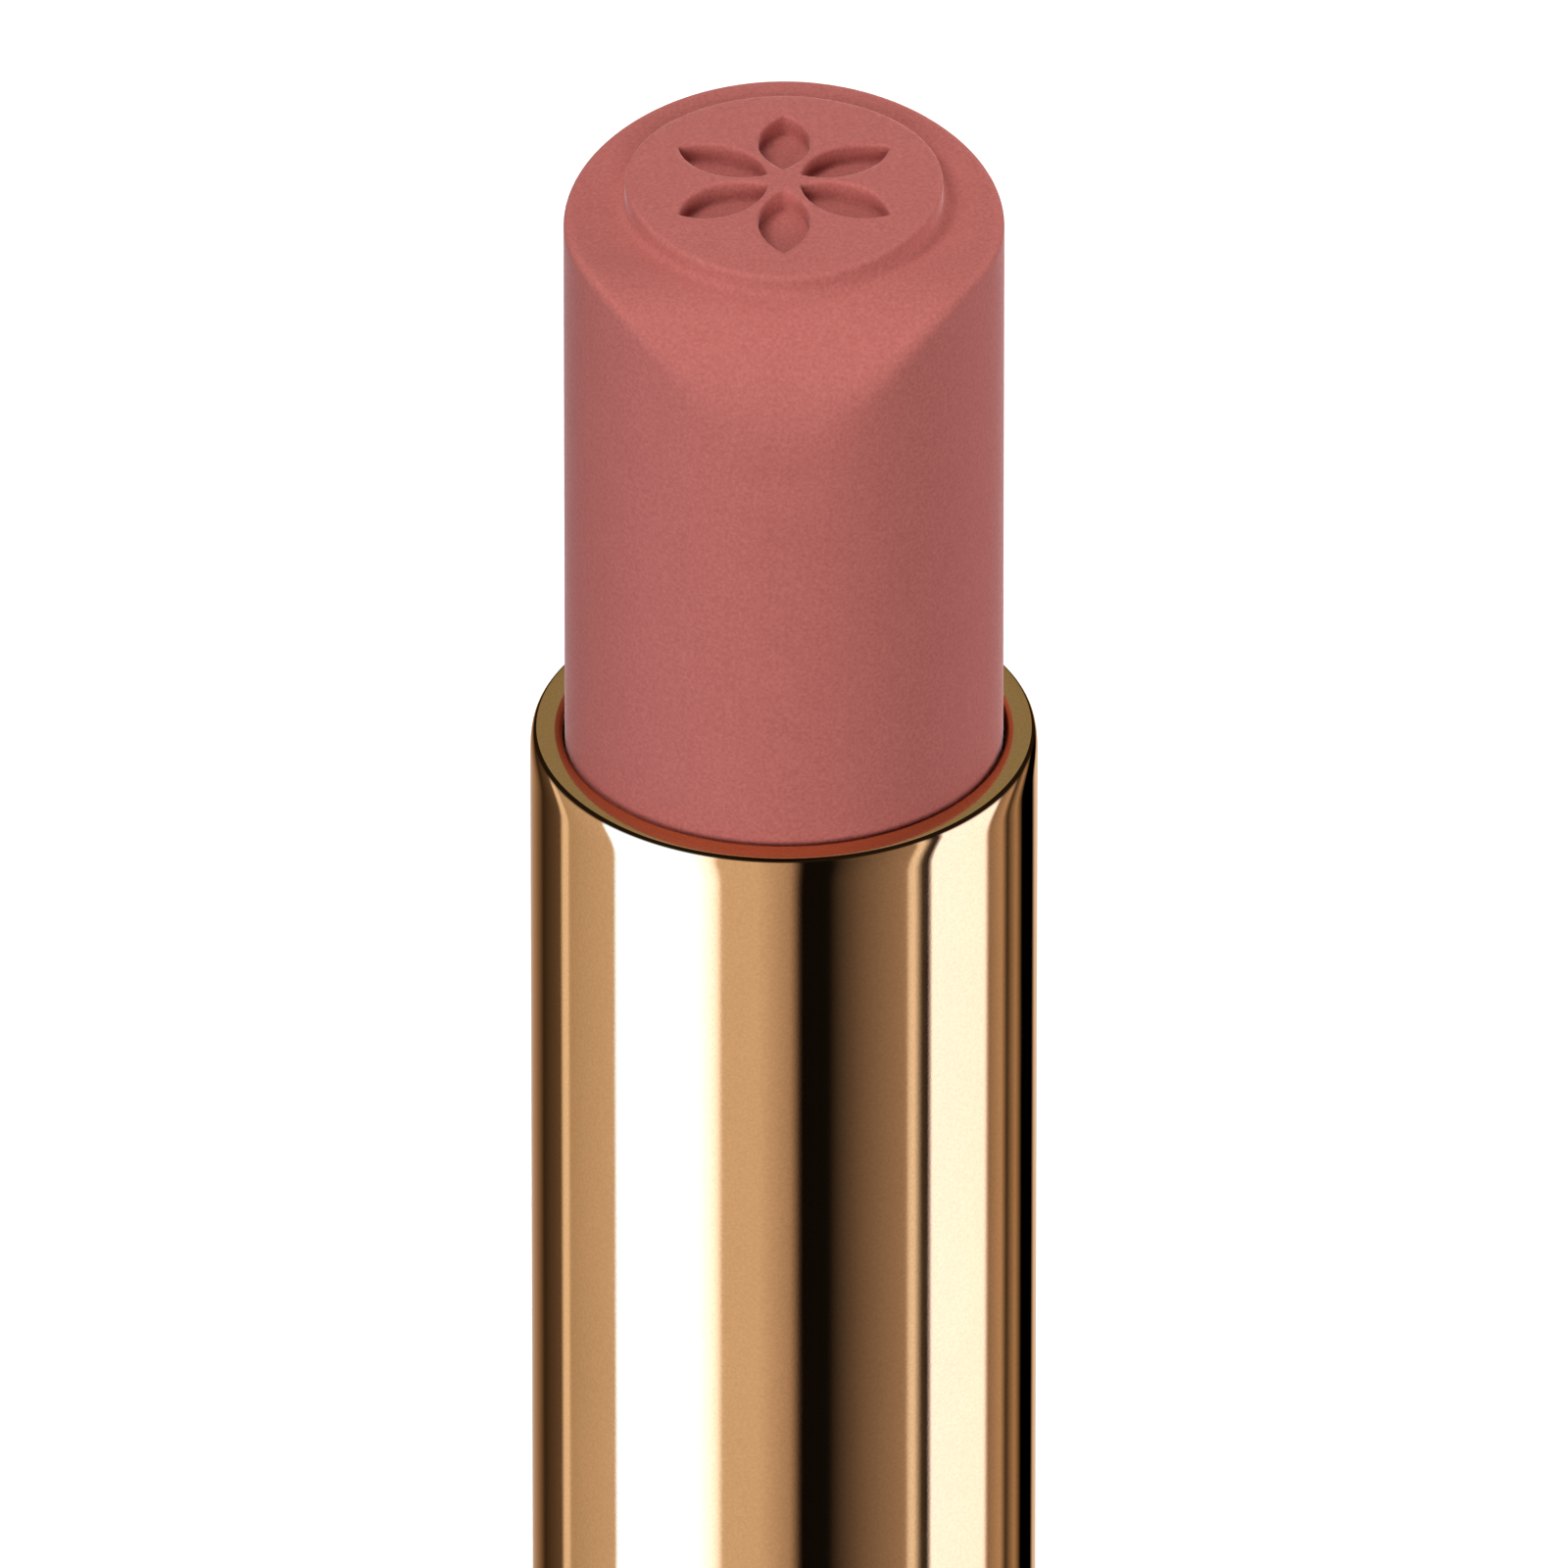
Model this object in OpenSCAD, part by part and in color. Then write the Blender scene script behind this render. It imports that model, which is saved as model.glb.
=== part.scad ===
// Twist-up lipstick case, shown with the bullet fully raised.
// Upright on +Z, standing on z = 0, its axis through the origin. The slanted front of
// the bullet faces -Y. All lengths are in millimetres.
//
// Three groups move against each other. The base group holds the inner tube, whose two
// straight slots keep the cup from turning. The sleeve group turns on the base and
// carries the spiral tube, whose two helical slots lift or lower the cup's lugs. The
// cup and the bullet slide up and down inside.

/* [Bullet] */
// Radius of the bullet
bullet_r = 6.35; // [5.5:0.05:7]
// Height of the flat top above the rim, where the slanted front begins
flat_rise = 17.1; // [12:0.1:22]
// Height above the rim where the front slope starts to leave the cylinder
slope_rise = 12.35; // [6:0.05:18]
// Distance behind the front edge over which the slope rounds over
slope_depth = 4.15; // [1:0.05:6]
// Squareness of the rounded slope, 2 is a plain ellipse
slope_power = 2.2; // [1.5:0.1:4]
// Steady rise of the top towards the back, per millimetre
back_slope = 0.035; // [0:0.005:0.2]
// Extra rise of the top towards the back, per square millimetre
back_curve = 0.009; // [0:0.0005:0.03]

/* [Medallion] */
// Radius of the raised disc on top of the bullet
medal_r = 4.58; // [3:0.02:5]
// Distance of the disc's centre behind the axis
medal_back = 0.8; // [0:0.05:1.4]
// Height of the disc's top above the rim
medal_rise = 18.05; // [12.5:0.05:23]
// How far the disc's top dips at its front edge
medal_dip = 0.55; // [0:0.05:1]
// Distance behind the axis where the dip begins
medal_dip_start = 2; // [0:0.1:4]
// Number of leaf-shaped pockets in the disc
leaf_count = 6; // [3:1:8]
// Distance from the disc's centre to a leaf's outer tip
leaf_reach = 3.5; // [2:0.05:4]
// Distance from the disc's centre to a leaf's inner tip
leaf_root = 0.55; // [0.3:0.05:1.5]
// Widest part of a leaf
leaf_width = 1.5; // [0.8:0.05:2]
// Depth of the pockets
leaf_depth = 0.6; // [0.2:0.05:0.6]

/* [Tube stack] */
// Height of the tube's rim above the table
rim_z = 64; // [55:0.5:80]
// Outer radius of the polished outer tube
tube_r = 7.36; // [7.2:0.01:8]
// Bore radius of the outer tube
tube_bore_r = 7.03; // [6.95:0.01:7.1]
// Radius of the mouth in the outer tube's turned-in rim
mouth_r = 6.40; // [6.4:0.01:6.6]
// Thickness of the turned-in rim
mouth_lip = 0.55; // [0.4:0.05:1]
// Height of the outer tube's lower end
tube_foot_z = 24.02; // [23.5:0.01:25]
// Outer radius of the spiral tube
spiral_r = 7.02; // [6.9:0.01:7.1]
// Bore radius of the spiral tube
spiral_bore_r = 6.76; // [6.7:0.01:6.85]
// Outer radius of the inner tube
inner_r = 6.69; // [6.6:0.01:6.75]
// Bore radius of the inner tube
inner_bore_r = 6.43; // [6.4:0.01:6.5]

/* [Mechanism] */
// Travel of the cup from fully raised to fully lowered
travel = 20; // [10:0.5:24]
// Rise of the helical slots in one turn
lead = 16; // [12:0.5:24]
// Height of the lugs when the cup is fully raised
lug_z = 51; // [45:0.5:53]
// Radius of a lug
lug_r = 0.85; // [0.5:0.05:1]
// Side clearance of a lug in its straight slot
slot_play = 0.08; // [0.03:0.01:0.2]
// Side clearance of a lug in its helical slot
helix_play = 0.14; // [0.05:0.01:0.3]

/* [Cup] */
// Outer radius of the cup
cup_r = 6.36; // [6:0.01:6.4]
// Bore radius of the cup
cup_bore_r = 6; // [5.5:0.05:6.1]
// Depth of the cup's top below the rim when fully raised
cup_depth = 2.5; // [1:0.1:5]

/* [Collar] */
// Outer radius of the collar ring
collar_r = 8.95; // [8.7:0.05:9.5]
// Outer radius of the bush inside the collar ring
bush_r = 8.38; // [8.2:0.01:8.5]
// Height of the collar's top above the table
collar_top_z = 31.3; // [29:0.1:32]

/* [Base] */
// Outer radius of the base shell
base_r = 9.75; // [9.5:0.05:12]
// Height of the base shell
base_h = 26; // [24:0.5:28]
// Wall thickness of the base shell
base_wall = 0.5; // [0.4:0.05:0.8]
// Radius of the steel weight
weight_r = 8.35; // [7:0.05:8.6]
// Radius of the shade label
label_r = 8; // [6:0.1:9]

/* [Hidden] */
seat_gap = 0.02;
run_gap = 0.08;
bullet_top = rim_z + flat_rise;
join_y = slope_depth - bullet_r;
cup_top = rim_z - cup_depth;
cup_floor = 1.2;
cup_bottom = lug_z - lug_r - 1;
lug_tip_r = spiral_r - 0.04;
slot_end_gap = 0.5;
slot_bottom = lug_z - travel - lug_r - slot_end_gap;
slot_top = lug_z + lug_r + slot_end_gap;
lip_under = rim_z - mouth_lip;
inner_top = lip_under - 0.15;
inner_flange_h = 0.35;
inner_flange_r = tube_bore_r - run_gap;
spiral_top = inner_top - inner_flange_h - 0.1;
spiral_bottom = 28;
helix_step = 10;
helix_turn = 360 * travel / lead;
helix_over = 10;
crown_r = 1.06;
crown_crest_r = 6.8;
crown_edge = 20;
crown_inner = -6;
mouth_round = (crown_crest_r + crown_r * sin(crown_inner) - mouth_r) / (1 + sin(crown_inner));
mouth_round_z = rim_z - crown_r * (1 - cos(crown_inner)) - mouth_round * cos(crown_inner);
crown_edge_x = crown_crest_r + crown_r * sin(crown_edge);
crown_edge_z = rim_z - crown_r * (1 - cos(crown_edge));
shoulder_shape = 3.4;
shoulder_pow = 2 / 3.2;
shoulder_last = atan(pow(shoulder_shape / tan(crown_edge), 1 / (2 - shoulder_pow)));
shoulder_depth = (tube_r - crown_edge_x) / (1 - pow(cos(shoulder_last), shoulder_pow));
shoulder_h = shoulder_depth * shoulder_shape;
plug_bottom = 0.5;
plug_top = 1.9;
label_t = 0.12;
weight_bottom = plug_top + 0.1;
weight_top = 7.95;
foot_bottom = weight_top + 0.05;
foot_top = 8.48;
foot_r = 8.3;
ledge_z = foot_top + seat_gap;
core_top = base_h - base_wall - 0.1 - seat_gap;
washer_z = 20;
washer_t = 0.4;
bush_bottom = washer_z + washer_t + 0.1;
bush_seat_z = tube_foot_z - seat_gap;
collar_lip = 0.4;
collar_bottom = base_h + 0.25;
brake_z = 26;
brake_mid_r = (inner_r + tube_bore_r) / 2;
brake_section_r = (tube_bore_r - inner_r) / 2 - 0.01;
chamfer = 0.25;

$fn = 144;

// Height of the bullet's rounded front at angle t, from 0 at its foot to 90 at the flat.
function front_point(t) = [join_y - slope_depth * pow(cos(t), 2 / slope_power),
    rim_z + slope_rise + (flat_rise - slope_rise) * pow(sin(t), 2 / slope_power)];

// Point of the bullet's top at a distance t behind the start of the flat.
function back_point(t) = [join_y + t, bullet_top + back_slope * t + back_curve * t * t];

// Height of the medallion's top at a distance y behind the axis.
function medal_z(y) = rim_z + medal_rise
    - medal_dip * pow(max(0, medal_dip_start - y) / (medal_dip_start - medal_back + medal_r), 2.2);

// A solid ring turned from a closed outline of [radius, height] points.
module turned(outline) {
    rotate_extrude() polygon(outline);
}

// A plain ring between two radii and two heights.
module ring(inner, outer, bottom, top) {
    turned([[inner, bottom], [outer, bottom], [outer, top], [inner, top]]);
}

// A side profile of [distance back, height] points, carried across the full width.
module across(profile) {
    translate([-bullet_r - 1, 0, 0])
        rotate([90, 0, 90])
            linear_extrude(2 * bullet_r + 2) polygon(profile);
}

// Everything under the medallion's dipped top, lowered by a given depth.
module under_medal(depth) {
    back = medal_back + medal_r + 1;
    front = medal_back - medal_r - 0.2;
    rise = [for (i = [0 : 12]) let (y = front + i * (medal_dip_start - front) / 12)
        [y, medal_z(y) - depth]];
    across(concat([[front, rim_z + slope_rise]], rise,
        [[back, medal_z(back) - depth], [back, rim_z + slope_rise]]));
}

// One leaf-shaped pocket, the overlap of two round rods.
module leaf() {
    half = (leaf_reach - leaf_root) / 2;
    arc_r = (half * half + leaf_width * leaf_width / 4) / leaf_width;
    intersection() {
        translate([leaf_root + half, arc_r - leaf_width / 2, rim_z + slope_rise])
            cylinder(r = arc_r, h = medal_rise);
        translate([leaf_root + half, leaf_width / 2 - arc_r, rim_z + slope_rise])
            cylinder(r = arc_r, h = medal_rise);
    }
}

// Bullet: a stub held in the cup, a cylinder with a slanted front, and the medallion.
module bullet() {
    front = [for (i = [0 : 15]) front_point(90 * i / 15)];
    back = [for (i = [1 : 8]) back_point(i * (2 * bullet_r - slope_depth + 0.5) / 8)];
    low = cup_top - 1;
    color([0.70, 0.36, 0.34]) union() {
        translate([0, 0, cup_bottom + cup_floor])
            cylinder(r = cup_bore_r - seat_gap, h = cup_top - cup_bottom - cup_floor + 1);
        intersection() {
            translate([0, 0, cup_top]) cylinder(r = bullet_r, h = 2 * medal_rise);
            across(concat([[-bullet_r - 0.5, low], [-bullet_r - 0.5, rim_z + slope_rise]],
                front, back, [[bullet_r + 0.5, low]]));
        }
        difference() {
            intersection() {
                translate([0, medal_back, rim_z + slope_rise + 1])
                    cylinder(r = medal_r, h = medal_rise);
                under_medal(0);
            }
            difference() {
                translate([0, medal_back, 0])
                    for (i = [0 : leaf_count - 1]) rotate(90 + i * 360 / leaf_count) leaf();
                under_medal(leaf_depth);
            }
        }
    }
}

// Holder cup: grips the bullet's stub and carries two lugs on its sides.
module holder_cup() {
    color([0.86, 0.84, 0.80]) union() {
        turned([[0, cup_bottom], [cup_r - chamfer, cup_bottom], [cup_r, cup_bottom + chamfer],
            [cup_r, cup_top - seat_gap], [cup_bore_r, cup_top - seat_gap],
            [cup_bore_r, cup_bottom + cup_floor - seat_gap],
            [0, cup_bottom + cup_floor - seat_gap]]);
        for (side = [0, 180])
            rotate(side) translate([cup_bore_r + 0.1, 0, lug_z]) rotate([0, 90, 0])
                cylinder(r = lug_r, h = lug_tip_r - cup_bore_r - 0.1);
    }
}

// Inner tube: fixed in the base, with a straight slot on each side for the lugs.
module inner_tube() {
    slot_half = lug_r + slot_play;
    color([0.80, 0.80, 0.78]) difference() {
        turned([[inner_bore_r, foot_bottom], [foot_r, foot_bottom], [foot_r, foot_top],
            [inner_r, foot_top], [inner_r, inner_top - inner_flange_h],
            [inner_flange_r, inner_top - inner_flange_h], [inner_flange_r, inner_top],
            [inner_bore_r, inner_top]]);
        translate([-bullet_r - 1, -slot_half, slot_bottom])
            cube([2 * bullet_r + 2, 2 * slot_half, slot_top - slot_bottom]);
    }
}

// One cutter of a helical slot: an upright bar at a turn angle along the helix.
module helix_bar(turn) {
    slot_h = 2 * (lug_r + helix_play) / cos(atan(lead / (2 * PI * spiral_r)));
    rotate(turn) translate([inner_r, -0.01, lug_z + lead * turn / 360 - slot_h / 2])
        cube([tube_r - inner_r, 0.02, slot_h]);
}

// Spiral tube: pressed into the outer tube, with two helical slots that drive the lugs.
module spiral_tube() {
    steps = round((helix_turn + 2 * helix_over) / helix_step);
    color([0.74, 0.72, 0.68]) difference() {
        translate([0, 0, spiral_bottom])
            cylinder(r = spiral_r, h = spiral_top - spiral_bottom, $fn = 72);
        translate([0, 0, spiral_bottom - 1])
            cylinder(r = spiral_bore_r, h = spiral_top - spiral_bottom + 2, $fn = 72);
        for (side = [0, 180]) rotate(side)
            for (i = [0 : steps - 1]) hull() {
                helix_bar(helix_over - i * helix_step);
                helix_bar(helix_over - (i + 1) * helix_step);
            }
    }
}

// Outer tube: the polished sleeve, with a soft shoulder and a crowned, turned-in rim.
module outer_tube() {
    mouth = [for (i = [0 : 5]) let (t = -90 + i * (90 + crown_inner) / 6)
        [mouth_r + mouth_round * (1 + sin(t)), mouth_round_z + mouth_round * cos(t)]];
    crown = [for (t = [crown_inner : 3 : crown_edge])
        [crown_crest_r + crown_r * sin(t), rim_z - crown_r * (1 - cos(t))]];
    shoulder = [for (i = [0 : 14]) let (t = shoulder_last * (1 - i / 14))
        [tube_r - shoulder_depth * (1 - pow(cos(t), shoulder_pow)),
            crown_edge_z + shoulder_h * (pow(sin(t), shoulder_pow) - pow(sin(shoulder_last), shoulder_pow))]];
    color([0.80, 0.62, 0.38]) turned(concat(
        [[tube_r - 0.1, tube_foot_z], [tube_bore_r, tube_foot_z], [tube_bore_r, lip_under],
            [mouth_r, lip_under]],
        mouth, crown, shoulder, [[tube_r, tube_foot_z + 0.1]]));
}

// Brake ring: a soft ring on the inner tube that drags on the outer tube's bore.
module brake_ring() {
    color([0.15, 0.15, 0.16]) translate([0, 0, brake_z])
        rotate_extrude() translate([brake_mid_r, 0]) circle(r = brake_section_r, $fn = 24);
}

// Collar ring: the metal trim at the foot of the outer tube, where the cap seats.
module collar_ring() {
    color([0.80, 0.62, 0.38]) turned([[bush_r + seat_gap, collar_bottom],
        [collar_r - chamfer, collar_bottom], [collar_r, collar_bottom + chamfer],
        [collar_r, collar_top_z - chamfer], [collar_r - chamfer, collar_top_z],
        [tube_r + seat_gap, collar_top_z], [tube_r + seat_gap, collar_top_z - collar_lip],
        [bush_r + seat_gap, collar_top_z - collar_lip]]);
}

// Collar bush: joins the outer tube to the collar ring and turns in the base core.
module collar_bush() {
    bush_top = collar_top_z - collar_lip - seat_gap;
    color([0.22, 0.22, 0.23]) turned([[inner_r + run_gap, bush_bottom],
        [bush_r - chamfer, bush_bottom], [bush_r, bush_bottom + chamfer], [bush_r, bush_top],
        [tube_r + seat_gap, bush_top], [tube_r + seat_gap, bush_seat_z],
        [inner_r + run_gap, bush_seat_z]]);
}

// Thrust washer: lies in the base core's counterbore, under the collar bush.
module thrust_washer() {
    color([0.90, 0.89, 0.84])
        ring(inner_r + run_gap, bush_r - 0.1, washer_z + seat_gap, washer_z + washer_t);
}

// Base shell: the metal skin of the base, turned in at the top around the bush.
module base_shell() {
    lip = base_h - base_wall - 0.1;
    color([0.80, 0.62, 0.38]) turned([[base_r - base_wall, 0], [base_r - 0.15, 0],
        [base_r, 0.15], [base_r, base_h - chamfer], [base_r - chamfer, base_h],
        [bush_r + run_gap, base_h], [bush_r + run_gap, lip], [base_r - base_wall, lip]]);
}

// Base core: the moulded insert that grips the inner tube and guides the bush.
module base_core() {
    core_r = base_r - base_wall - seat_gap;
    color([0.16, 0.16, 0.17]) turned([[weight_r + 0.05, plug_top + seat_gap],
        [core_r, plug_top + seat_gap], [core_r, core_top], [bush_r + run_gap, core_top],
        [bush_r + run_gap, washer_z], [inner_r + seat_gap, washer_z],
        [inner_r + seat_gap, ledge_z], [weight_r + 0.05, ledge_z]]);
}

// Base weight: a steel slug that steadies the case and clamps the inner tube's foot.
module base_weight() {
    color([0.55, 0.56, 0.58]) turned([[0, weight_bottom], [weight_r - chamfer, weight_bottom],
        [weight_r, weight_bottom + chamfer], [weight_r, weight_top - chamfer],
        [weight_r - chamfer, weight_top], [0, weight_top]]);
}

// Base plug: closes the shell from below.
module base_plug() {
    color([0.16, 0.16, 0.17]) translate([0, 0, plug_bottom])
        cylinder(r = base_r - base_wall - seat_gap, h = plug_top - plug_bottom);
}

// Shade label: a blank round sticker under the plug, clear of the table.
module shade_label() {
    color([0.88, 0.80, 0.78]) translate([0, 0, plug_bottom - label_t])
        cylinder(r = label_r, h = label_t);
}

bullet();
holder_cup();
inner_tube();
spiral_tube();
outer_tube();
brake_ring();
collar_ring();
collar_bush();
thrust_washer();
base_shell();
base_core();
base_weight();
base_plug();
shade_label();
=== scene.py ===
"""Looks for the twist-up lipstick case.

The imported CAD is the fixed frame. The bullet and the three gold skins are rebuilt here with
softer edges and finer surfaces, the other nodes get materials, and a small studio with one
long-lens camera goes round them. The frame is in metres, outlines below are in millimetres.
"""
import math

import bmesh
import bpy
import numpy as np
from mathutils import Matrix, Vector


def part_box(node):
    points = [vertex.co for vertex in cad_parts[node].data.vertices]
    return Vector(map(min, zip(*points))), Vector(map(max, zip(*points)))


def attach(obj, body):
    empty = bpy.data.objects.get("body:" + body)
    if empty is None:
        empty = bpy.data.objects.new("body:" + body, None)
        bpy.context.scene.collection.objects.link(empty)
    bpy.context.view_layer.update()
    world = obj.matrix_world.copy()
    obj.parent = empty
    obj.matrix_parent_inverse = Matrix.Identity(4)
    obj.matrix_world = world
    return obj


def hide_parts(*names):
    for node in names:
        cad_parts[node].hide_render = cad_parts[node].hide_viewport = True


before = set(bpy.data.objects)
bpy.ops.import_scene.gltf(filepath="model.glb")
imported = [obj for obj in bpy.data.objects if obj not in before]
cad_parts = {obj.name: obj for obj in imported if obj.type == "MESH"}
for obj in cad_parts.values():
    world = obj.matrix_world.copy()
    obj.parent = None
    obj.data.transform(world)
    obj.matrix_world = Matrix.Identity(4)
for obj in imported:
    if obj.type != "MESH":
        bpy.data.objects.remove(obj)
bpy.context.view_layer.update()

MM = 0.001


# ---------------------------------------------------------------- places from the frame

def radius_of(node):
    """Outer radius of a round node, in millimetres."""
    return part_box(node)[1].y / MM


def foot_of(node):
    """Height of a node's lower end, in millimetres."""
    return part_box(node)[0].z / MM


def top_of(node):
    """Height of a node's upper end, in millimetres."""
    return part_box(node)[1].z / MM


RIM_Z = top_of("outer_tube")
TUBE_R = radius_of("outer_tube")
BULLET_R = radius_of("bullet")
CUP_TOP = top_of("holder_cup")


# ---------------------------------------------------------------- turned metal skins

SEGMENTS = 256          # sides of a turned skin
SUPPORT = 0.04          # distance of the loops that hold a flat stretch flat, in mm


def arc(mid_r, mid_z, radius, start, stop, steps=8):
    """Points of a round stretch of an outline; angles in degrees from straight out."""
    return [(mid_r + radius * math.cos(math.radians(a)), mid_z + radius * math.sin(math.radians(a)))
            for a in np.linspace(start, stop, steps + 1)]


def supported(outline):
    """The closed outline with a point just inside both ends of each long straight stretch."""
    points = []
    for here, there in zip(outline, outline[1:] + outline[:1]):
        here, there = np.array(here), np.array(there)
        length = np.linalg.norm(there - here)
        points.append(here)
        if length > 4 * SUPPORT:
            step = (there - here) / length * SUPPORT
            points += [here + step, there - step]
    return points


def turned(name, outline):
    """A smooth ring turned about the axis from a closed outline of (radius, height) points."""
    points = supported(outline)
    angles = np.arange(SEGMENTS) * 2 * math.pi / SEGMENTS
    verts = [(r * MM * math.cos(a), r * MM * math.sin(a), z * MM) for r, z in points for a in angles]
    rings = len(points)
    faces = []
    for i in range(rings):
        j = (i + 1) % rings
        for k in range(SEGMENTS):
            m = (k + 1) % SEGMENTS
            faces.append((i * SEGMENTS + k, i * SEGMENTS + m, j * SEGMENTS + m, j * SEGMENTS + k))
    return smooth_object(name, verts, faces)


def smooth_object(name, verts, faces):
    """A smooth-shaded mesh object with its faces turned outward."""
    mesh = bpy.data.meshes.new(name)
    mesh.from_pydata([tuple(v) for v in verts], [], [tuple(f) for f in faces])
    work = bmesh.new()
    work.from_mesh(mesh)
    bmesh.ops.recalc_face_normals(work, faces=work.faces)
    work.to_mesh(mesh)
    work.free()
    mesh.shade_smooth()
    piece = bpy.data.objects.new(name, mesh)
    bpy.context.scene.collection.objects.link(piece)
    return piece


MOUTH_R = 6.40          # mouth of the outer tube's turned-in rim
MOUTH_LIP = 0.55        # thickness of the turned-in rim
CROWN_R = 1.06          # radius of the rim's crowned top
CROWN_CREST_R = 6.8     # where the crown is highest
CROWN_EDGE = 20         # slope at the crown's outer edge, in degrees
CROWN_INNER = -6        # slope at its inner edge
SHOULDER_SHAPE = 3.4    # height of the shoulder under the rim, as a share of its depth
SHOULDER_POWER = 3.2    # squareness of the shoulder's outline; 2 is an ellipse
TUBE_BORE_R = 7.03      # bore of the outer tube
TUBE_BEVEL = 0.1        # bevel at the outer tube's foot
SEAT_GAP = 0.02         # gap round a piece that is pressed in
RUN_GAP = 0.08          # gap round a piece that turns


def crown_point(tilt):
    """Radius and height on the crown's arc where its slope is tilt degrees outward."""
    t = math.radians(tilt)
    return CROWN_CREST_R + CROWN_R * math.sin(t), RIM_Z - CROWN_R * (1 - math.cos(t))


def outer_tube():
    """The polished tube with its soft shoulder and its crowned, turned-in rim."""
    inner = math.radians(CROWN_INNER)
    foot, under = foot_of("outer_tube"), RIM_Z - MOUTH_LIP
    inner_r, inner_z = crown_point(CROWN_INNER)
    edge_r, edge_z = crown_point(CROWN_EDGE)
    mouth = (inner_r - MOUTH_R) / (1 + math.sin(inner))
    mouth_z = inner_z - mouth * math.cos(inner)
    power = 2 / SHOULDER_POWER
    last = math.atan((SHOULDER_SHAPE / math.tan(math.radians(CROWN_EDGE))) ** (1 / (2 - power)))
    depth = (TUBE_R - edge_r) / (1 - math.cos(last) ** power)
    height = depth * SHOULDER_SHAPE
    outline = [(TUBE_R - TUBE_BEVEL, foot), (TUBE_BORE_R, foot), (TUBE_BORE_R, under), (MOUTH_R, under)]
    outline += arc(MOUTH_R + mouth, mouth_z, mouth, 180, 90 - CROWN_INNER)
    outline += arc(CROWN_CREST_R, RIM_Z - CROWN_R, CROWN_R, 90 - CROWN_INNER, 90 - CROWN_EDGE)[1:]
    outline += [(TUBE_R - depth * (1 - math.cos(t) ** power),
                 edge_z + height * (math.sin(t) ** power - math.sin(last) ** power))
                for t in np.linspace(last, 0, 25)[1:]]
    outline += [(TUBE_R, foot + TUBE_BEVEL)]
    return turned("outer_tube_skin", outline)


def collar_ring():
    """The plain trim ring at the tube's foot, its edges rounded."""
    r, low, high = radius_of("collar_ring"), foot_of("collar_ring"), top_of("collar_ring")
    bore, seat = radius_of("collar_bush") + SEAT_GAP, TUBE_R + SEAT_GAP
    lip, edge, mouth = 0.4, 0.3, 0.12
    outline = [(bore, low)] + arc(r - edge, low + edge, edge, -90, 0)
    outline += arc(r - edge, high - edge, edge, 0, 90)
    outline += arc(seat + mouth, high - mouth, mouth, 90, 180, 5)
    outline += [(seat, high - lip), (bore, high - lip)]
    return turned("collar_ring_skin", outline)


def base_shell():
    """The base's metal skin, its upper and lower edges rounded."""
    r, high = radius_of("base_shell"), top_of("base_shell")
    wall, lip, edge, hem, inner_hem, mouth = 0.5, 0.6, 0.35, 0.2, 0.08, 0.1
    bore, inner = radius_of("collar_bush") + RUN_GAP, r - wall
    outline = [(inner, high - lip), (inner, inner_hem)]
    outline += arc(inner + inner_hem, inner_hem, inner_hem, 180, 270, 4)
    outline += arc(r - hem, hem, hem, -90, 0) + arc(r - edge, high - edge, edge, 0, 90)
    outline += arc(bore + mouth, high - mouth, mouth, 90, 180, 5) + [(bore, high - lip)]
    return turned("base_shell_skin", outline)


# ---------------------------------------------------------------- the bullet

FLAT_RISE = 17.1        # height of the flat top above the rim, where the slanted front begins
SLOPE_RISE = 12.35      # height above the rim where the front slope leaves the cylinder
SLOPE_DEPTH = 4.15      # distance behind the front edge over which the slope rounds over
SLOPE_POWER = 2.2       # squareness of the slope's outline
BACK_SLOPE = 0.035      # steady rise of the top towards the back, per mm
BACK_CURVE = 0.0090     # extra rise of the top towards the back, per square mm
MEDAL_R = 4.58          # radius of the raised disc
MEDAL_BACK = 0.8        # its centre, behind the axis
MEDAL_RISE = 18.05      # its top, above the rim
MEDAL_DIP = 0.55        # how far its front edge dips
MEDAL_DIP_START = 2.0   # where the dip begins, behind the axis
MEDAL_DIP_POWER = 2.2   # how late the dip steepens
LEAVES = 6              # leaf-shaped pockets in the disc
LEAF_ROOT = 0.55        # distance of a leaf's inner tip from the disc's centre
LEAF_REACH = 3.5        # distance of its outer tip
LEAF_WIDTH = 1.5        # its widest part
LEAF_DEPTH = 0.6        # depth of the pockets
STUB_R = 5.98           # the bullet's stub inside the cup
NET_STEP = 0.085        # spacing of the surface net
NET_FOOT = 10.5         # height above the rim where the net ends and the plain wall begins
NET_LOOPS = (5, 0)      # heights above the rim of the plain wall's loops
EDGE_SOFT = 0.3         # rounding of the slope's and the flat top's edges
DISC_SOFT = 0.13        # rounding of the disc's edge
FOOT_SOFT = 0.24        # rounding where the disc meets the flat top
POCKET_SOFT = 0.12      # rounding at the foot of the pockets
LIP_SOFT = 0.1          # rounding of the pockets' edges
FLARE = 0.12            # how fast the outline leaves the wall below the slope, per square mm
PAST_BACK = 2.0         # how far the outline runs on behind the bullet


def smooth_max(a, b, width):
    """The larger of two distances, with the crease between them rounded."""
    mix = np.maximum(width - np.abs(a - b), 0) / width
    return np.maximum(a, b) + mix * mix * width / 4


def smooth_min(a, b, width):
    """The smaller of two distances, with the crease between them filled."""
    return -smooth_max(-a, -b, width)


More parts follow.
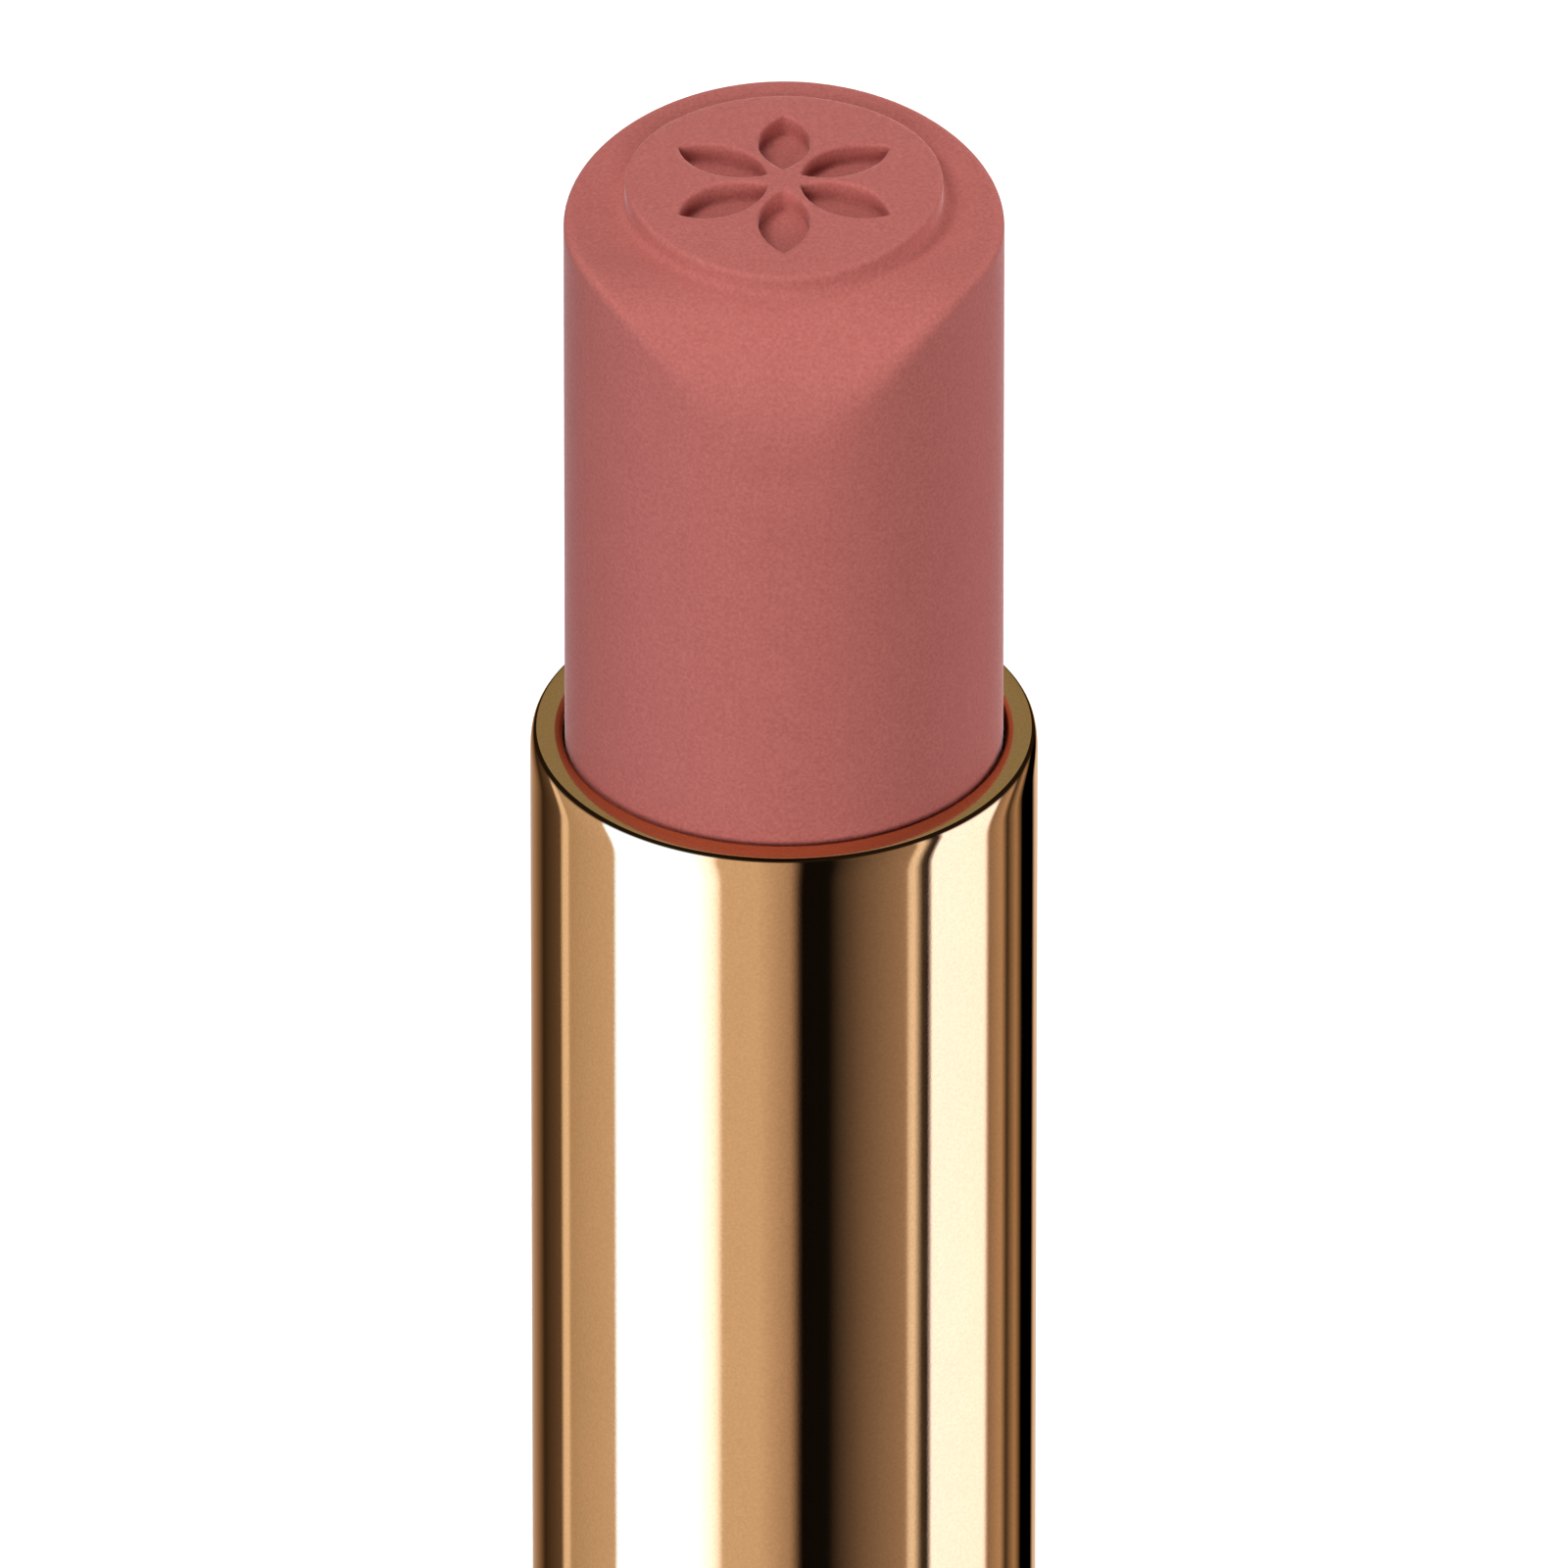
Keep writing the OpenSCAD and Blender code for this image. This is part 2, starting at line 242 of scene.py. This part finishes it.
def top_outline():
    """The bullet's side outline from below its front edge over the top to behind its back."""
    join = SLOPE_DEPTH - BULLET_R
    below = [(-BULLET_R - FLARE * t * t, SLOPE_RISE - t) for t in np.linspace(3, 0.1, 16)]
    t = np.radians(np.linspace(0, 90, 72))
    front = np.stack([join - SLOPE_DEPTH * np.cos(t) ** (2 / SLOPE_POWER),
                      SLOPE_RISE + (FLAT_RISE - SLOPE_RISE) * np.sin(t) ** (2 / SLOPE_POWER)], 1)
    b = np.linspace(0.2, 2 * BULLET_R - SLOPE_DEPTH + PAST_BACK, 40)
    back = np.stack([join + b, FLAT_RISE + BACK_SLOPE * b + BACK_CURVE * b * b], 1)
    return np.concatenate([below, front, back])


def outline_distance(y, z, outline):
    """Signed distance to a side outline, below zero underneath it."""
    y, z = np.broadcast_arrays(y, z)
    best = np.full(y.shape, 1e9)
    side = np.zeros(y.shape)
    for (ay, az), (by, bz) in zip(outline[:-1], outline[1:]):
        dy, dz = by - ay, bz - az
        t = np.clip(((y - ay) * dy + (z - az) * dz) / (dy * dy + dz * dz), 0, 1)
        gap = np.hypot(y - ay - t * dy, z - az - t * dz)
        near = gap < best
        best = np.where(near, gap, best)
        side = np.where(near, dy * (z - az) - dz * (y - ay), side)
    return np.where(side > 0, best, -best)


def medal_height(y):
    """Height of the disc's top above the rim."""
    reach = MEDAL_DIP_START - MEDAL_BACK + MEDAL_R
    return MEDAL_RISE - MEDAL_DIP * (np.maximum(0, MEDAL_DIP_START - y) / reach) ** MEDAL_DIP_POWER


def leaf_distance(x, y):
    """Distance to the nearest of the leaf-shaped pockets round the disc's centre."""
    sector = 2 * math.pi / LEAVES
    turn = (np.arctan2(y, x) - math.pi / 2 + sector / 2) % sector - sector / 2
    r = np.hypot(x, y)
    half = (LEAF_REACH - LEAF_ROOT) / 2
    arc_r = (half * half + LEAF_WIDTH * LEAF_WIDTH / 4) / LEAF_WIDTH
    along, across = r * np.cos(turn) - LEAF_ROOT - half, r * np.sin(turn)
    offset = arc_r - LEAF_WIDTH / 2
    return np.maximum(np.hypot(along, across - offset), np.hypot(along, across + offset)) - arc_r


TOP_OUTLINE = top_outline()


def bullet_field(x, y, z):
    """Distance to the bullet's surface, below zero inside; z is above the rim, all in mm."""
    body = smooth_max(np.hypot(x, y) - BULLET_R, outline_distance(y, z, TOP_OUTLINE), EDGE_SOFT)
    crown = medal_height(y)
    disc = smooth_max(np.hypot(x, y - MEDAL_BACK) - MEDAL_R, z - crown, DISC_SOFT)
    solid = smooth_min(body, disc, FOOT_SOFT)
    pocket = smooth_max(leaf_distance(x, y - MEDAL_BACK), crown - LEAF_DEPTH - z, POCKET_SOFT)
    return smooth_max(solid, -pocket, LIP_SOFT)


def surface_net(field, low, high, step):
    """Vertices and quads of a field's zero surface, one vertex in each grid cell it crosses."""
    size = [int(round((h - l) / step)) + 1 for l, h in zip(low, high)]
    grid = [l + step * np.arange(n).reshape([-1 if a == i else 1 for i in range(3)])
            for a, (l, n) in enumerate(zip(low, size))]
    value = np.broadcast_to(field(*grid), size)
    inside = value < 0
    cells = [n - 1 for n in size]
    total, count = np.zeros(cells + [3]), np.zeros(cells)
    crossings = []
    for axis in range(3):
        near, far = [slice(None)] * 3, [slice(None)] * 3
        near[axis], far[axis] = slice(None, -1), slice(1, None)
        a, b = value[tuple(near)], value[tuple(far)]
        cross = inside[tuple(near)] != inside[tuple(far)]
        share = np.where(cross, a / np.where(cross, a - b, 1), 0)
        crossings.append(cross)
        others = [o for o in range(3) if o != axis]
        for u in (0, 1):
            for v in (0, 1):
                part = [slice(None)] * 3
                part[others[0]] = slice(u, cells[others[0]] + u)
                part[others[1]] = slice(v, cells[others[1]] + v)
                edge = cross[tuple(part)]
                total[..., axis] += share[tuple(part)]
                total[..., others[0]] += edge * u
                total[..., others[1]] += edge * v
                count += edge
    active = count > 0
    index = np.full(cells, -1)
    index[active] = np.arange(active.sum())
    place = np.argwhere(active) + total[active] / count[active][:, None]
    faces = []
    for axis in range(3):
        u, v = [o for o in range(3) if o != axis]
        inner = [slice(None)] * 3
        inner[u], inner[v] = slice(1, -1), slice(1, -1)
        at = np.argwhere(crossings[axis][tuple(inner)])
        corners = []
        for du, dv in ((0, 0), (1, 0), (1, 1), (0, 1)):
            cell = at.copy()
            cell[:, u] += du
            cell[:, v] += dv
            corners.append(index[tuple(cell.T)])
        faces.append(np.stack(corners, 1))
    return np.array(low) + place * step, np.concatenate(faces), np.argwhere(active)


def settled(points, field, rounds=5):
    """Points moved onto the field's zero surface, along its slope measured over a short probe."""
    probe, least_slope = 0.004, 0.05
    for _ in range(rounds):
        x, y, z = points.T
        value = field(x, y, z)
        slope = np.stack([(field(x + dx, y + dy, z + dz) - field(x - dx, y - dy, z - dz)) / (2 * probe)
                          for dx, dy, dz in np.eye(3) * probe], 1)
        move = slope * (value / np.maximum((slope ** 2).sum(1), least_slope))[:, None]
        points = points - np.clip(move, -NET_STEP / 2, NET_STEP / 2)
    return points


def bullet():
    """The bullet: a surface net for its shaped top, then the plain wall and the hidden stub."""
    reach = BULLET_R + 2 * NET_STEP
    points, faces, cells = surface_net(bullet_field, (-reach, -reach, NET_FOOT),
                                       (reach, reach, MEDAL_RISE + 4 * NET_STEP), NET_STEP)
    points = settled(points, bullet_field)
    lowest = cells[:, 2] == 0
    points[lowest, :2] *= (BULLET_R / np.hypot(*points[lowest, :2].T))[:, None]
    points[lowest, 2] = NET_FOOT
    points[:, 2] += RIM_Z
    piece = smooth_object("bullet_wax", points * MM, faces)
    work = bmesh.new()
    work.from_mesh(piece.data)
    rim = [e for e in work.edges if e.is_boundary]
    steps = [(BULLET_R, RIM_Z + rise) for rise in NET_LOOPS]
    steps += [(BULLET_R, CUP_TOP), (STUB_R, CUP_TOP), (STUB_R, foot_of("bullet"))]
    for radius, height in steps:
        made = bmesh.ops.extrude_edge_only(work, edges=rim)["geom"]
        rim = [g for g in made if isinstance(g, bmesh.types.BMEdge)]
        for vert in {v for e in rim for v in e.verts}:
            scale = radius * MM / math.hypot(vert.co.x, vert.co.y)
            vert.co = (vert.co.x * scale, vert.co.y * scale, height * MM)
    bmesh.ops.contextual_create(work, geom=rim)
    bmesh.ops.recalc_face_normals(work, faces=work.faces)
    work.to_mesh(piece.data)
    work.free()
    piece.data.shade_smooth()
    return piece


# ---------------------------------------------------------------- materials

def node_adder(tree):
    """A function that adds a node to the tree and links or sets its inputs, given by name or index."""
    def add(kind, inputs=(), **settings):
        node = tree.nodes.new(kind)
        for key, value in settings.items():
            setattr(node, key, value)
        for key, value in dict(inputs).items():
            if isinstance(value, bpy.types.NodeSocket):
                tree.links.new(value, node.inputs[key])
            else:
                node.inputs[key].default_value = value
        return node
    return add


def shader(name):
    """A new material, its principled shader, object coordinates and its node functions."""
    material = bpy.data.materials.new(name)
    material.use_nodes = True
    tree = material.node_tree
    add = node_adder(tree)
    place = add("ShaderNodeTexCoord").outputs["Object"]
    return material, tree.nodes["Principled BSDF"], place, add, tree.links.new


def noise(add, place, size, detail=2.0, roughness=0.5):
    """Noise whose features are about size millimetres across; its 0-to-1 output."""
    return add("ShaderNodeTexNoise", {"Vector": place, "Scale": 1 / (size * MM), "Detail": detail,
                                      "Roughness": roughness}).outputs["Fac"]


def spread(add, source, low, high, start=0.3, stop=0.7):
    """The source's start-to-stop range carried over to low-to-high."""
    return add("ShaderNodeMapRange", {"Value": source, "From Min": start, "From Max": stop,
                                      "To Min": low, "To Max": high}).outputs["Result"]


def ramp(add, source, stops):
    """A colour ramp through (position, colour) stops."""
    node = add("ShaderNodeValToRGB", {"Fac": source})
    while len(node.color_ramp.elements) < len(stops):
        node.color_ramp.elements.new(1.0)
    for element, (position, colour) in zip(node.color_ramp.elements, stops):
        element.position = position
        element.color = (*colour, 1)
    return node.outputs["Color"]


def bumped(add, link, surface, height, strength, depth):
    """Bump from a height; depth is in millimetres."""
    node = add("ShaderNodeBump", {"Height": height, "Strength": strength, "Distance": depth * MM})
    link(node.outputs["Normal"], surface.inputs["Normal"])


def gold():
    """Polished gold-anodised aluminium: warm, with faint cloudiness and a fine grain."""
    material, surface, place, add, link = shader("polished_gold")
    cloud = noise(add, place, 3.0, 3.0)
    grain = noise(add, place, 0.09, 2.0, 0.6)
    mixed = add("ShaderNodeMath", {0: grain, 1: spread(add, cloud, -0.04, 0.04)}, operation="ADD")
    link(ramp(add, mixed.outputs[0], [(0.3, (0.652, 0.393, 0.202)), (0.7, (0.750, 0.454, 0.236))]),
         surface.inputs["Base Color"])
    link(spread(add, cloud, 0.035, 0.06), surface.inputs["Roughness"])
    surface.inputs["Metallic"].default_value = 1.0
    surface.inputs["Specular Tint"].default_value = (0.80, 0.62, 0.44, 1)
    bumped(add, link, surface, grain, 0.12, 0.002)
    return material


def wax():
    """The bullet's matte, powdery rose wax."""
    material, surface, place, add, link = shader("rose_wax")
    grain = noise(add, place, 0.1, 3.0, 0.65)
    patch = noise(add, place, 1.2, 2.0)
    mixed = add("ShaderNodeMath", {0: grain, 1: spread(add, patch, -0.02, 0.02)}, operation="ADD")
    link(ramp(add, mixed.outputs[0],
              [(0.3, (0.435, 0.121, 0.106)), (0.5, (0.49, 0.146, 0.127)), (0.7, (0.545, 0.172, 0.149))]),
         surface.inputs["Base Color"])
    link(spread(add, grain, 0.48, 0.62), surface.inputs["Roughness"])
    surface.inputs["Specular IOR Level"].default_value = 0.08
    link(spread(add, grain, 0.12, 0.5), surface.inputs["Sheen Weight"])
    surface.inputs["Sheen Roughness"].default_value = 0.26
    surface.inputs["Sheen Tint"].default_value = (1.0, 0.86, 0.88, 1)
    bumped(add, link, surface, grain, 0.3, 0.012)
    return material


def metal(name, dark, light, low, high):
    """A satin metal between two tones, with roughness from low to high."""
    material, surface, place, add, link = shader(name)
    cloud = noise(add, place, 1.5, 4.0)
    grain = noise(add, place, 0.1, 2.0)
    link(ramp(add, cloud, [(0.3, dark), (0.7, light)]), surface.inputs["Base Color"])
    link(spread(add, grain, low, high), surface.inputs["Roughness"])
    surface.inputs["Metallic"].default_value = 1.0
    bumped(add, link, surface, grain, 0.1, 0.004)
    return material


def moulded(name, dark, light, low, high, depth=0.006):
    """A fine-grained moulded plastic, rubber or paper between two tones."""
    material, surface, place, add, link = shader(name)
    cloud = noise(add, place, 1.2, 3.0)
    grain = noise(add, place, 0.12, 2.0)
    link(ramp(add, cloud, [(0.3, dark), (0.7, light)]), surface.inputs["Base Color"])
    link(spread(add, grain, low, high), surface.inputs["Roughness"])
    bumped(add, link, surface, grain, 0.2, depth)
    return material


def paint(piece, material):
    """Gives a piece its one material."""
    piece.data.materials.clear()
    piece.data.materials.append(material)


GOLD, WAX = gold(), wax()
CAD_LOOKS = {
    "holder_cup": moulded("cup_plastic", (0.62, 0.59, 0.53), (0.70, 0.67, 0.61), 0.35, 0.5),
    "inner_tube": metal("drawn_metal", (0.62, 0.52, 0.38), (0.70, 0.60, 0.45), 0.22, 0.36),
    "spiral_tube": metal("spiral_metal", (0.58, 0.54, 0.48), (0.66, 0.62, 0.55), 0.25, 0.4),
    "brake_ring": moulded("greased_rubber", (0.012, 0.012, 0.013), (0.022, 0.022, 0.024), 0.3, 0.45),
    "collar_bush": moulded("bush_plastic", (0.018, 0.018, 0.019), (0.030, 0.030, 0.032), 0.4, 0.55),
    "thrust_washer": moulded("washer_plastic", (0.70, 0.68, 0.62), (0.78, 0.76, 0.70), 0.35, 0.5),
    "base_core": moulded("core_plastic", (0.014, 0.014, 0.015), (0.026, 0.026, 0.028), 0.4, 0.55),
    "base_weight": metal("turned_steel", (0.30, 0.30, 0.31), (0.40, 0.40, 0.41), 0.25, 0.4),
    "base_plug": moulded("plug_plastic", (0.014, 0.014, 0.015), (0.028, 0.028, 0.030), 0.4, 0.6),
    "shade_label": moulded("label_paper", (0.70, 0.58, 0.55), (0.76, 0.65, 0.62), 0.5, 0.65),
}
for node, material in CAD_LOOKS.items():
    paint(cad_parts[node], material)

PIECES = [
    (bullet, WAX, "carrier", "lipstick", "bullet"),
    (outer_tube, GOLD, "sleeve", "gold", "outer_tube"),
    (collar_ring, GOLD, "sleeve", "gold", "collar_ring"),
    (base_shell, GOLD, "base", "gold", "base_shell"),
]
for make, material, body, slot, node in PIECES:
    piece = make()
    paint(piece, material)
    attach(piece, body)
    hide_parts(node)


# ---------------------------------------------------------------- studio

NEUTRAL, WARM, BROWN, OLIVE = (1, 1, 1), (1, 0.90, 0.78), (1, 0.81, 0.69), (1, 1, 0.7)
PALE, COOL, BLUE = (0.70, 0.82, 1), (0.62, 0.71, 1), (0.34, 0.56, 1)
BAND_PEAK = 4.0         # the brightest level below
BAND_GAIN = 1.30        # how much brighter than its level each band is, as polished gold mirrors it darker
ROOM_LEVEL = 0.03       # faint light from all round on everything matte
# What the polished tube mirrors round the case, below the horizon: (angle in degrees, 0 at the front
# and positive to the right; level; tint). A tall soft box stands at the left, a narrower one at the right.
BANDS = [
    (-180, 0.70, WARM), (-157, 0.38, BROWN), (-143, 0.04, BROWN), (-123.5, 0.13, BROWN),
    (-121, 0.84, NEUTRAL), (-117, 0.88, NEUTRAL), (-115, 0.48, WARM), (-84, 0.62, WARM),
    (-82.5, 3.8, BLUE), (-41, 3.8, BLUE), (-34.5, 2.7, COOL), (-30.8, 1.9, PALE),
    (-28, 0.67, WARM), (-12, 0.67, WARM), (2.5, 0.41, BROWN), (7.5, 0.005, BROWN),
    (20.5, 0.006, NEUTRAL), (37, 0.17, BROWN), (57.5, 0.34, BROWN), (59.5, 0.9, NEUTRAL),
    (62, 0.9, NEUTRAL), (65.5, 0.07, BROWN), (69.9, 0.02, BROWN), (71.3, 2.4, COOL),
    (104.5, 2.4, COOL), (107.5, 0.28, BROWN), (118, 0.50, BROWN), (123, 0.03, BROWN),
    (132, 0.45, BROWN), (139, 0.0, BROWN), (156.5, 0.0, BROWN), (161.5, 0.75, WARM),
]
# What faces that look up mirror, from the front of the room to its back: (share of the way; level; tint).
# Between it and the bands is a dark gap, which draws the dark line at the rim's outer corner.
CEILING = [
    (-1.0, 0.0, NEUTRAL), (-0.15, 0.0, NEUTRAL), (0.1, 0.36, WARM), (0.4, 0.27, OLIVE), (1.0, 0.27, OLIVE),
]
GAP_COLOUR = (0.004, 0.003, 0.002, 1)
# The bands fade into the gap where height + FADE_LEAN * back passes BANDS_FADE. The gap gives way to the
# ceiling where height - sideways + CEILING_LEAN * back passes CEILING_START.
BANDS_FADE, FADE_LEAN = (-0.1, 0.1), 0.35
CEILING_START, CEILING_LEAN = (0.25, 0.35), 0.47
SIDE_SOFT = 0.15        # rounds the ceiling's start where left and right meet


def banded(add, share, stops, start, stop):
    """A colour ramp over the share through stops given as (place from start to stop, level, tint)."""
    return ramp(add, share, [((place - start) / (stop - start), tuple(level / BAND_PEAK * c for c in tint))
                             for place, level, tint in stops])


def studio_world():
    """A dark room with tall soft boxes and flags, which only polished metal mirrors."""
    world = bpy.data.worlds.new("studio")
    bpy.context.scene.world = world
    world.use_nodes = True
    world.node_tree.nodes.clear()
    add = node_adder(world.node_tree)
    way = add("ShaderNodeTexCoord").outputs["Generated"]
    part = add("ShaderNodeSeparateXYZ", {0: way}).outputs
    front = add("ShaderNodeMath", {0: part["Y"], 1: -1.0}, operation="MULTIPLY").outputs[0]
    turn = add("ShaderNodeMath", {0: part["X"], 1: front}, operation="ARCTAN2").outputs[0]
    round_room = banded(add, spread(add, turn, 0, 1, -math.pi, math.pi), BANDS, -180, 180)
    overhead = banded(add, spread(add, part["Y"], 0, 1, -1, 1), CEILING, -1, 1)
    fading = add("ShaderNodeMath", {0: part["Y"], 1: FADE_LEAN, 2: part["Z"]},
                 operation="MULTIPLY_ADD").outputs[0]
    lower = add("ShaderNodeMix", {0: spread(add, fading, 0, 1, *BANDS_FADE), 6: round_room,
                                  7: GAP_COLOUR}, data_type="RGBA").outputs[2]
    square = add("ShaderNodeMath", {0: part["X"], 1: part["X"], 2: SIDE_SOFT ** 2},
                 operation="MULTIPLY_ADD").outputs[0]
    aside = add("ShaderNodeMath", {0: square}, operation="SQRT").outputs[0]
    height = add("ShaderNodeMath", {0: part["Z"], 1: aside}, operation="SUBTRACT").outputs[0]
    above = add("ShaderNodeMath", {0: part["Y"], 1: CEILING_LEAN, 2: height},
                operation="MULTIPLY_ADD").outputs[0]
    mirrored = add("ShaderNodeMix", {0: spread(add, above, 0, 1, *CEILING_START), 6: lower,
                                     7: overhead}, data_type="RGBA").outputs[2]
    mirror = add("ShaderNodeBackground", {"Color": mirrored, "Strength": BAND_PEAK * BAND_GAIN}).outputs[0]
    room = add("ShaderNodeBackground", {"Color": (1, 1, 1, 1), "Strength": ROOM_LEVEL}).outputs[0]
    backdrop = add("ShaderNodeBackground", {"Color": (1, 1, 1, 1), "Strength": 1.0}).outputs[0]
    path = add("ShaderNodeLightPath").outputs
    soft = add("ShaderNodeMixShader", {0: path["Is Glossy Ray"], 1: room, 2: mirror}).outputs[0]
    seen = add("ShaderNodeMixShader", {0: path["Is Camera Ray"], 1: soft, 2: backdrop}).outputs[0]
    add("ShaderNodeOutputWorld", {"Surface": seen})


LAMP_FAR = 0.9          # distance of the soft boxes, in metres
LAMP_SIZE = 0.4         # their width, in metres
# (name, angle round the case in degrees, height angle in degrees, power in watts)
LAMPS = [
    ("front", 0, 10, 6.0), ("left", -50, 12, 0.6), ("right", 80, 12, 0.6),
    ("top", -65, 56, 3.5), ("high", 180, 72, 2.4), ("back", 180, 5, 2.0),
    ("right_rim", 130, 6, 7.4), ("left_rim", -135, 8, 1.5),
]


def soft_box(name, turn, rise, power):
    """A square lamp aimed at the case, which polished metal doesn't mirror."""
    lamp = bpy.data.lights.new(name, "AREA")
    lamp.shape, lamp.size, lamp.energy = "SQUARE", LAMP_SIZE, power
    turn, rise = math.radians(turn), math.radians(rise)
    way = Vector((math.sin(turn) * math.cos(rise), -math.cos(turn) * math.cos(rise), math.sin(rise)))
    thing = bpy.data.objects.new(name, lamp)
    thing.location = Vector((0, 0, RIM_Z * MM)) + way * LAMP_FAR
    thing.rotation_euler = way.to_track_quat("Z", "Y").to_euler()
    thing.visible_glossy = False
    thing.visible_camera = False
    bpy.context.scene.collection.objects.link(thing)


FLOOR_HALF = 3.0        # half the floor's width, in metres
FLOOR_GLOW = 0.32       # its own glow near the case, where the lamps do the rest
FLOOR_NEAR, FLOOR_FAR = 0.35, 1.3       # where the glow starts to grow and where it is full, in metres


def floor():
    """A wide, pale, over-lit floor that stays white far from the lamps."""
    corners = [(x * FLOOR_HALF, y * FLOOR_HALF, 0) for x, y in ((-1, -1), (1, -1), (1, 1), (-1, 1))]
    mesh = bpy.data.meshes.new("floor")
    mesh.from_pydata(corners, [], [(0, 1, 2, 3)])
    ground = bpy.data.objects.new("floor", mesh)
    bpy.context.scene.collection.objects.link(ground)
    material, surface, place, add, link = shader("pale_floor")
    cloud = noise(add, place, 40.0, 2.0)
    link(ramp(add, cloud, [(0.3, (0.93, 0.93, 0.93)), (0.7, (0.96, 0.96, 0.96))]),
         surface.inputs["Base Color"])
    away = add("ShaderNodeVectorMath", {0: place}, operation="LENGTH").outputs["Value"]
    link(spread(add, away, FLOOR_GLOW, 1.0, FLOOR_NEAR, FLOOR_FAR), surface.inputs["Emission Strength"])
    surface.inputs["Emission Color"].default_value = (1, 1, 1, 1)
    surface.inputs["Roughness"].default_value = 0.9
    surface.inputs["Specular IOR Level"].default_value = 0.0
    paint(ground, material)
    ground.visible_glossy = False
    ground.visible_diffuse = False


VIEW_RISE = 32.2        # the camera's height angle, in degrees
VIEW_FAR = 1.5          # its distance, in metres
VIEW_WIDTH = 45.4       # what it sees across at the rim, in mm
VIEW_DROP = 1.74        # how far below the rim's centre it aims, in the picture, in mm


def camera():
    """A long lens in front of the case, looking down on it."""
    rise = math.radians(VIEW_RISE)
    back = Vector((0, -math.cos(rise), math.sin(rise)))
    up = Vector((0, math.sin(rise), math.cos(rise)))
    aim = Vector((0, 0, RIM_Z * MM)) - up * VIEW_DROP * MM
    lens = bpy.data.cameras.new("camera")
    lens.sensor_width = 36
    lens.lens = lens.sensor_width * VIEW_FAR / (VIEW_WIDTH * MM)
    lens.clip_start, lens.clip_end = 0.1, 20
    thing = bpy.data.objects.new("camera", lens)
    thing.location = aim + back * VIEW_FAR
    thing.rotation_euler = (-back).to_track_quat("-Z", "Y").to_euler()
    bpy.context.scene.collection.objects.link(thing)
    bpy.context.scene.camera = thing


studio_world()
for lamp in LAMPS:
    soft_box(*lamp)
floor()
camera()
bpy.context.scene.view_settings.view_transform = "Standard"
